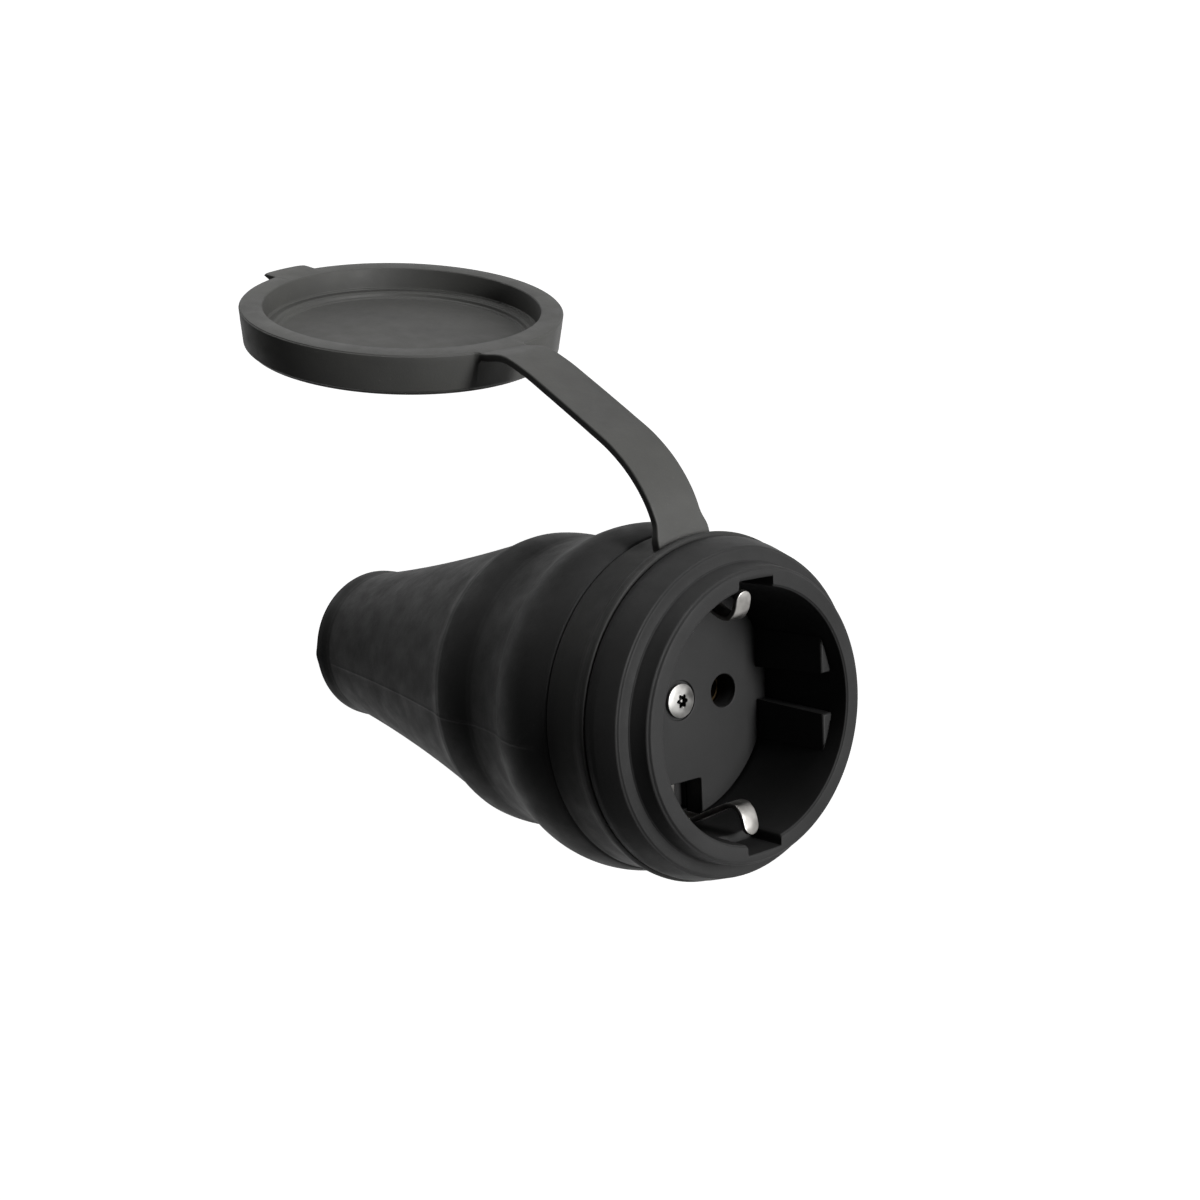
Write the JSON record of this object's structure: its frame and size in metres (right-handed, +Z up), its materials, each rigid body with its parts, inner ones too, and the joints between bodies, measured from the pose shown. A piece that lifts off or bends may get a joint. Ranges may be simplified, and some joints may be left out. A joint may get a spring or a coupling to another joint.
{
  "type": "inline socket connector",
  "caption": "Rewirable rubber inline socket for a round earthed plug, with side earth clips, a grip sleeve and a round cover on a flexible strap.",
  "frame": {"origin": "middle of the base of the bounding box, as the object lies on the floor", "axes": "+X towards the plug opening, +Y towards the open cover, +Z up"},
  "size_m": [0.111, 0.102, 0.0578],
  "materials": {
    "housing_rubber": "matt moulded rubber",
    "cover_rubber": "matt moulded rubber",
    "face_plastic": "satin moulded plastic",
    "carrier_plastic": "moulded plastic",
    "brass": "turned",
    "clip_steel": "nickel-plated strip",
    "screw_steel": "plated"
  },
  "bodies": {
    "housing": {"housing": "housing_rubber", "insert_face": "face_plastic", "contact_carrier": "carrier_plastic", "contact_near": "brass", "contact_far": "brass", "earth_strip": "clip_steel", "earth_terminal": "brass", "centre_screw": "screw_steel", "centre_nut": "screw_steel", "cord_clamp": "carrier_plastic", "terminal_screws": "screw_steel", "clamp_screws": "screw_steel", "strap_ring": "cover_rubber"},
    "link_1": {"strap_link_1": "cover_rubber"},
    "link_2": {"strap_link_2": "cover_rubber"},
    "link_3": {"strap_link_3": "cover_rubber"},
    "link_4": {"strap_link_4": "cover_rubber"},
    "link_5": {"strap_link_5": "cover_rubber"},
    "link_6": {"strap_link_6": "cover_rubber"},
    "link_7": {"strap_link_7": "cover_rubber"},
    "link_8": {"strap_link_8": "cover_rubber"},
    "link_9": {"strap_link_9": "cover_rubber"},
    "cover": {"cap": "cover_rubber"}
  },
  "joints": [
    {"name": "strap_bend_0", "type": "hinge", "parent": "housing", "child": "link_1", "pos_m": [0.04015, 0.00424, 0.03431], "axis": [0.165, 0.13, -0.9777], "range_deg": [0, 3.5], "stiffness_Nm_per_rad": 0.01},
    {"name": "strap_bend_1", "type": "hinge", "parent": "link_1", "child": "link_2", "pos_m": [0.0386, 0.00951, 0.03476], "axis": [0.165, 0.13, -0.9777], "range_deg": [0, 3.5], "stiffness_Nm_per_rad": 0.01},
    {"name": "strap_bend_2", "type": "hinge", "parent": "link_2", "child": "link_3", "pos_m": [0.03569, 0.01421, 0.03489], "axis": [0.165, 0.13, -0.9777], "range_deg": [0, 18.38], "stiffness_Nm_per_rad": 0.01},
    {"name": "strap_bend_3", "type": "hinge", "parent": "link_3", "child": "link_4", "pos_m": [0.03177, 0.01808, 0.03474], "axis": [0.165, 0.13, -0.9777], "range_deg": [0, 53.73], "stiffness_Nm_per_rad": 0.01},
    {"name": "strap_bend_4", "type": "hinge", "parent": "link_4", "child": "link_5", "pos_m": [0.02721, 0.02121, 0.03439], "axis": [0.165, 0.13, -0.9777], "range_deg": [0, 58], "stiffness_Nm_per_rad": 0.01},
    {"name": "strap_bend_5", "type": "hinge", "parent": "link_5", "child": "link_6", "pos_m": [0.02258, 0.02423, 0.03401], "axis": [0.165, 0.13, -0.9777], "range_deg": [0, 58], "stiffness_Nm_per_rad": 0.01},
    {"name": "strap_bend_6", "type": "hinge", "parent": "link_6", "child": "link_7", "pos_m": [0.01792, 0.0272, 0.03362], "axis": [0.165, 0.13, -0.9777], "range_deg": [0, 41.49], "stiffness_Nm_per_rad": 0.01},
    {"name": "strap_bend_7", "type": "hinge", "parent": "link_7", "child": "link_8", "pos_m": [0.0132, 0.03009, 0.03321], "axis": [0.165, 0.13, -0.9777], "range_deg": [0, 8.6], "stiffness_Nm_per_rad": 0.01},
    {"name": "strap_bend_8", "type": "hinge", "parent": "link_8", "child": "link_9", "pos_m": [0.00817, 0.03237, 0.03267], "axis": [0.165, 0.13, -0.9777], "range_deg": [0, 3.5], "stiffness_Nm_per_rad": 0.01},
    {"name": "strap_bend_9", "type": "hinge", "parent": "link_9", "child": "cover", "pos_m": [0.00278, 0.03309, 0.03185], "axis": [0.165, 0.13, -0.9777], "range_deg": [0, 3.5], "stiffness_Nm_per_rad": 0.01}
  ]
}
